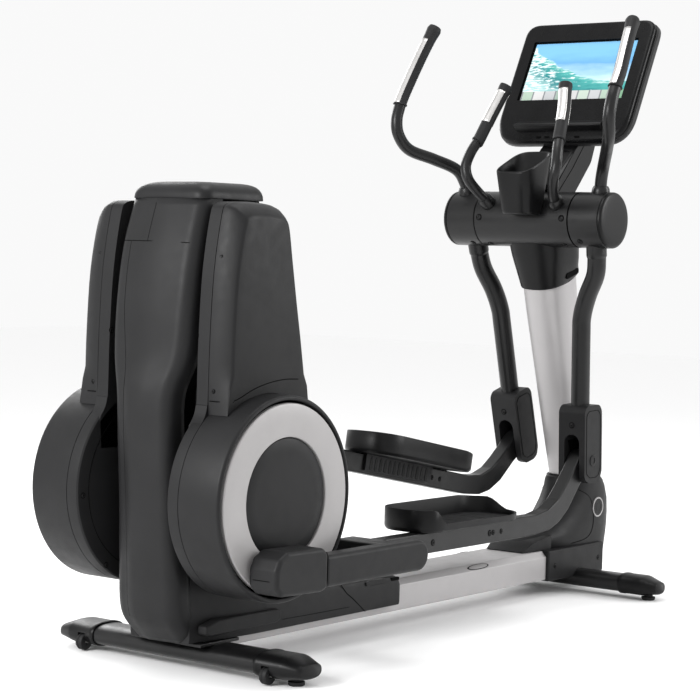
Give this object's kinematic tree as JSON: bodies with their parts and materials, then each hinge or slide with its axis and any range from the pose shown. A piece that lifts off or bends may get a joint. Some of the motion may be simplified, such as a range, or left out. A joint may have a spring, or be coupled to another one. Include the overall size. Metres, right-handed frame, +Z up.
{
  "type": "elliptical trainer",
  "caption": "Rear-drive elliptical trainer: drive tower with crank discs, silver beam and mast, swinging handle arms, foot pedals and a screen console.",
  "frame": {"origin": "on the floor, at the middle of the footprint on the mid-plane", "axes": "+Z up, +X towards the console end, +Y to the left of a person using it"},
  "size_m": [2.134, 0.78, 1.7116],
  "materials": {
    "charcoal_plastic": "moulded covers, fine grain",
    "black_plastic": "moulded plastic",
    "silver_paint": "metallic silver paint",
    "bright_steel": "machined",
    "dark_iron": "black coated",
    "rubber": "moulded",
    "screen_glass": "gloss panel",
    "grey_plastic": "painted plastic",
    "charcoal_paint": "charcoal powder coat"
  },
  "bodies": {
    "base": {"base_beam": "silver_paint", "console_back": "grey_plastic", "console_bezel": "black_plastic", "console_neck": "black_plastic", "console_screen": "screen_glass", "cup_holder": "black_plastic", "drive_belt": "rubber", "fixed_grip_left": "rubber", "fixed_grip_right": "rubber", "fixed_handle_left": "charcoal_paint", "fixed_handle_right": "charcoal_paint", "front_end_cap_left": "black_plastic", "front_end_cap_right": "black_plastic", "front_stabiliser": "charcoal_paint", "generator": "dark_iron", "hub_cylinder": "charcoal_paint", "mast": "silver_paint", "mast_boot": "charcoal_plastic", "neck_housing": "black_plastic", "rear_base_cover": "charcoal_plastic", "rear_end_cap_left": "black_plastic", "rear_end_cap_right": "black_plastic", "rear_stabiliser": "charcoal_paint", "side_cover_left": "charcoal_plastic", "side_cover_right": "charcoal_plastic", "side_shell_left": "charcoal_plastic", "side_shell_right": "charcoal_plastic", "swing_axle": "bright_steel", "tower_cap": "charcoal_plastic", "tower_front_cover": "charcoal_plastic", "tower_rear_cover": "charcoal_plastic", "upright_left": "dark_iron", "upright_right": "dark_iron"},
    "right_swing": {"swing_leg_right": "charcoal_paint", "swing_drum_right": "charcoal_paint", "drum_cap_right": "black_plastic", "handle_tube_right": "charcoal_paint", "handle_grip_right": "rubber"},
    "right_arm": {"pedal_arm_right": "charcoal_paint", "crank_box_right": "charcoal_plastic", "crank_pin_right": "bright_steel", "pedal_right": "black_plastic", "pedal_bracket_right": "dark_iron"},
    "left_swing": {"swing_leg_left": "charcoal_paint", "swing_drum_left": "charcoal_paint", "drum_cap_left": "black_plastic", "handle_tube_left": "charcoal_paint", "handle_grip_left": "rubber"},
    "left_arm": {"pedal_arm_left": "charcoal_paint", "crank_box_left": "charcoal_plastic", "crank_pin_left": "bright_steel", "pedal_left": "black_plastic", "pedal_bracket_left": "dark_iron"},
    "crank": {"drive_pulley": "dark_iron", "crank_shaft": "bright_steel", "crank_disc_left": "silver_paint", "crank_disc_right": "silver_paint"},
    "flywheel_body": {"flywheel": "dark_iron"},
    "wheel_right": {"transport_wheel_right": "rubber"},
    "wheel_left": {"transport_wheel_left": "rubber"}
  },
  "joints": [
    {"name": "right_swing_hinge", "type": "hinge", "parent": "base", "child": "right_swing", "pos_m": [0.67, 0, 1.107], "axis": [0, -1, 0], "range_deg": [-8, 20]},
    {"name": "left_swing_hinge", "type": "hinge", "parent": "base", "child": "left_swing", "pos_m": [0.67, 0, 1.107], "axis": [0, -1, 0], "range_deg": [-20, 8]},
    {"name": "right_pedal_hinge", "type": "hinge", "parent": "right_swing", "child": "right_arm", "pos_m": [0.7016, -0.162, 0.40771], "axis": [0, -1, 0], "range_deg": [-20, 8]},
    {"name": "left_pedal_hinge", "type": "hinge", "parent": "left_swing", "child": "left_arm", "pos_m": [0.85854, 0.162, 0.43287], "axis": [0, -1, 0], "range_deg": [-8, 20]},
    {"name": "crank_hinge", "type": "hinge", "parent": "base", "child": "crank", "pos_m": [-0.825, 0, 0.425], "axis": [0, -1, 0], "continuous": true},
    {"name": "flywheel_hinge", "type": "hinge", "parent": "base", "child": "flywheel_body", "pos_m": [-0.82, 0, 0.8], "axis": [0, -1, 0], "continuous": true},
    {"name": "wheel_hinge_right", "type": "hinge", "parent": "base", "child": "wheel_right", "pos_m": [-0.878, -0.294, 0.022], "axis": [0, 1, 0], "continuous": true},
    {"name": "wheel_hinge_left", "type": "hinge", "parent": "base", "child": "wheel_left", "pos_m": [-0.878, 0.294, 0.022], "axis": [0, 1, 0], "continuous": true}
  ],
  "couplings": [
    {"joint": "left_swing_hinge", "follows": "right_swing_hinge", "ratio": -1},
    {"joint": "right_pedal_hinge", "follows": "right_swing_hinge", "ratio": -1},
    {"joint": "left_pedal_hinge", "follows": "right_swing_hinge", "ratio": 1},
    {"joint": "crank_hinge", "follows": "right_swing_hinge", "ratio": 6.4},
    {"joint": "flywheel_hinge", "follows": "right_swing_hinge", "ratio": 29.4}
  ]
}
